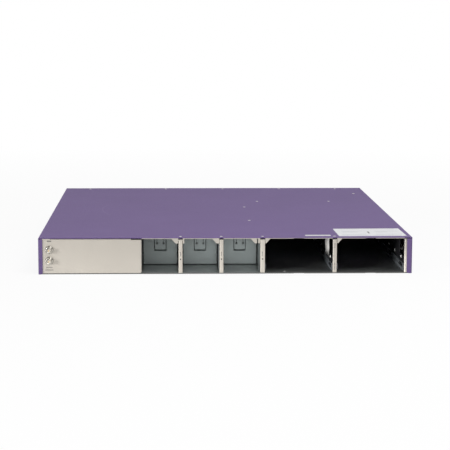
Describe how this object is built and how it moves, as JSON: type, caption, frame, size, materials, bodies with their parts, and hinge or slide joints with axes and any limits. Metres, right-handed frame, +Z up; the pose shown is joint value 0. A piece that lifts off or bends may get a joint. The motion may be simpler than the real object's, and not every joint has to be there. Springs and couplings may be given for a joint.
{
  "type": "ethernet switch",
  "caption": "One-unit rack ethernet switch: violet cover, bare sheet metal bays for fans and power supplies with hinged shutters, coax jacks, and stacked module ports on the far side.",
  "frame": {"origin": "on the floor plane, under the middle of the cover", "axes": "+X to the right seen from the service side, -Y towards the service side with the bays, +Y towards the ports, +Z up"},
  "size_m": [0.441, 0.4975, 0.0436],
  "materials": {
    "violet_paint": "fine textured powder coat",
    "plated_steel": "plain plated sheet",
    "zinc_steel": "plain galvanised sheet",
    "bay_floor": "plain galvanised sheet, smooth",
    "spring_steel": "bright spring sheet",
    "screw_steel": "bright plated",
    "coax_metal": "bright plated",
    "contact_gold": "gold flash",
    "white_insulator": "satin",
    "dark_lamp": "smoked light pipe",
    "clear_lamp": "light pipe",
    "board_green": "solder mask",
    "black_plastic": "moulded",
    "sink_aluminium": "extruded",
    "busbar_copper": "bare copper",
    "cage_metal": "nickel plated sheet"
  },
  "bodies": {
    "chassis": {"bay_divider": "plated_steel", "bay_rivets": "screw_steel", "board_standoffs": "zinc_steel", "chassis_tray": "bay_floor", "coax_contacts": "contact_gold", "coax_insulators": "white_insulator", "coax_jack_lower": "coax_metal", "coax_jack_upper": "coax_metal", "coax_nuts": "coax_metal", "coax_washers": "coax_metal", "console_port": "cage_metal", "cover_pillar": "zinc_steel", "cover_screws_front": "screw_steel", "cover_screws_middle": "screw_steel", "cover_screws_rear": "screw_steel", "cover_support_angle": "plated_steel", "cpu_chip": "black_plastic", "cpu_heatsink": "sink_aluminium", "fan_connectors": "black_plastic", "fan_divider_left": "plated_steel", "fan_divider_right": "plated_steel", "front_foot_rail": "violet_paint", "front_panel": "violet_paint", "front_posts": "violet_paint", "front_top_rail": "violet_paint", "main_board": "board_green", "management_jack": "cage_metal", "memory_module": "board_green", "memory_socket": "black_plastic", "port_light_pipes": "clear_lamp", "post_lamps": "dark_lamp", "power_busbars": "busbar_copper", "psu_backplane": "board_green", "psu_connectors": "black_plastic", "psu_divider": "plated_steel", "psu_front_wall": "plated_steel", "psu_ground_springs": "spring_steel", "psu_guide_rails": "black_plastic", "psu_right_wall": "plated_steel", "qsfp_cage_floor": "cage_metal", "qsfp_cage_shell": "cage_metal", "qsfp_connector": "black_plastic", "qsfp_port_separator": "cage_metal", "rear_blank_panel": "plated_steel", "rear_top_rail": "plated_steel", "sfp_cage_dividers": "cage_metal", "sfp_cage_floor": "cage_metal", "sfp_cage_shell": "cage_metal", "sfp_connectors": "black_plastic", "sfp_port_separators": "cage_metal", "shutter_pins": "screw_steel", "status_light_pipes": "clear_lamp", "switch_chip": "black_plastic", "switch_heatsink": "sink_aluminium", "timing_board": "board_green", "top_cover": "violet_paint"},
    "shutter_left": {"fan_shutter_left": "zinc_steel"},
    "shutter_middle": {"fan_shutter_middle": "zinc_steel"},
    "shutter_right": {"fan_shutter_right": "zinc_steel"}
  },
  "joints": [
    {"name": "shutter_left_hinge", "type": "hinge", "parent": "chassis", "child": "shutter_left", "pos_m": [-0.0777, -0.1856, 0.0389], "axis": [1, 0, 0], "range_deg": [0, 84]},
    {"name": "shutter_middle_hinge", "type": "hinge", "parent": "chassis", "child": "shutter_middle", "pos_m": [-0.0295, -0.1856, 0.0389], "axis": [1, 0, 0], "range_deg": [0, 84]},
    {"name": "shutter_right_hinge", "type": "hinge", "parent": "chassis", "child": "shutter_right", "pos_m": [0.0187, -0.1856, 0.0389], "axis": [1, 0, 0], "range_deg": [0, 84]}
  ]
}
